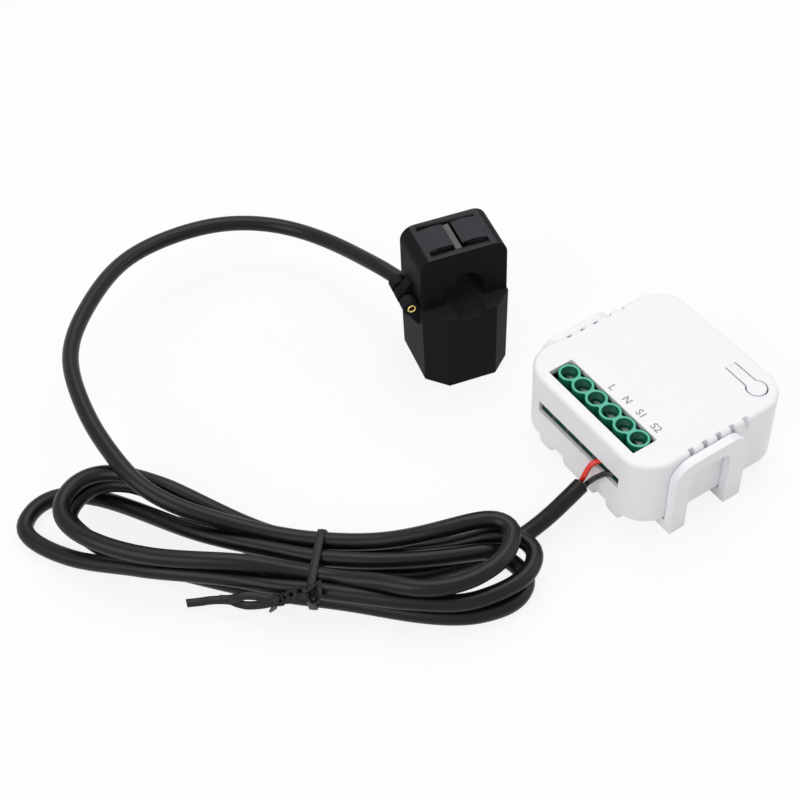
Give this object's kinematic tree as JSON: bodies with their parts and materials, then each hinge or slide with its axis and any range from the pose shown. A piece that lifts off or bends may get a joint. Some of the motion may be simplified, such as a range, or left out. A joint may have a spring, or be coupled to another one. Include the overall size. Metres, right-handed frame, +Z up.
{
  "type": "energy monitor with current clamp",
  "caption": "Square wall-box energy meter module with screw terminals and side bracket, wired by a tied hank of cord to a hinged clip-on current clamp",
  "frame": {"origin": "on the table surface under the middle of the module, on the underside of its bracket", "axes": "+X along the terminal row, +Y from the terminal side to the rear, +Z up"},
  "size_m": [0.1434, 0.1602, 0.0395],
  "materials": {
    "housing_white": "satin moulded white",
    "terminal_green": "moulded green, slight gloss",
    "bright_steel": "plated, bright",
    "cage_brass": "plain",
    "board_green": "solder mask",
    "board_blue": "solder mask",
    "ferrite": "ground, dull",
    "coil_tape": "polyester tape",
    "sleeve_blue": "shrink sleeve",
    "chip_black": "moulded epoxy",
    "clamp_black": "fine matte black",
    "pin_brass": "rolled tube",
    "bobbin_ivory": "moulded",
    "winding_copper": "enamelled wire",
    "cord_black": "satin sheath",
    "wire_red": "glossy insulation",
    "wire_black": "glossy insulation",
    "tie_black": "plastic-coated strip"
  },
  "bodies": {
    "base": {"top_housing": "housing_white", "back_cover": "housing_white", "mounting_bracket": "housing_white", "terminal_block": "terminal_green", "terminal_screws": "bright_steel", "wire_cages": "cage_brass", "terminal_pins": "bright_steel", "circuit_board": "board_green", "radio_board": "board_blue", "radio_shield": "bright_steel", "transformer_core": "ferrite", "transformer_coil": "coil_tape", "filter_capacitor": "sleeve_blue", "surge_varistor": "sleeve_blue", "bridge_rectifier": "chip_black", "metering_chip": "chip_black", "tact_switch": "chip_black", "ct_lower_shell": "clamp_black", "ct_base_cover": "clamp_black", "ct_hinge_pin": "pin_brass", "core_lower": "ferrite", "coil_bobbin": "bobbin_ivory", "coil_winding": "winding_copper", "cord_gland": "cord_black", "cord_ct": "cord_black", "cord_hank": "cord_black", "cord_module": "cord_black", "red_wire": "wire_red", "black_wire": "wire_black", "twist_tie": "tie_black"},
    "cap": {"ct_cap": "clamp_black", "core_upper": "ferrite"},
    "button": {"button_tongue": "housing_white"},
    "plunger": {"switch_plunger": "clamp_black"}
  },
  "joints": [
    {"name": "cap_hinge", "type": "hinge", "parent": "base", "child": "cap", "pos_m": [-0.05602, -0.0325, 0.0237], "axis": [0.9732, -0.23, 0], "range_deg": [0, 100]},
    {"name": "button_press", "type": "hinge", "parent": "base", "child": "button", "pos_m": [0.0074, 0.0164, 0.0216], "axis": [0, 1, 0], "range_deg": [0, 2.5], "stiffness_Nm_per_rad": 0.3},
    {"name": "plunger_slide", "type": "slide", "parent": "base", "child": "plunger", "axis": [0, 0, -1], "range_m": [0, 0.0004]}
  ],
  "couplings": [
    {"joint": "plunger_slide", "follows": "button_press", "m_per_rad": 0.0091}
  ]
}
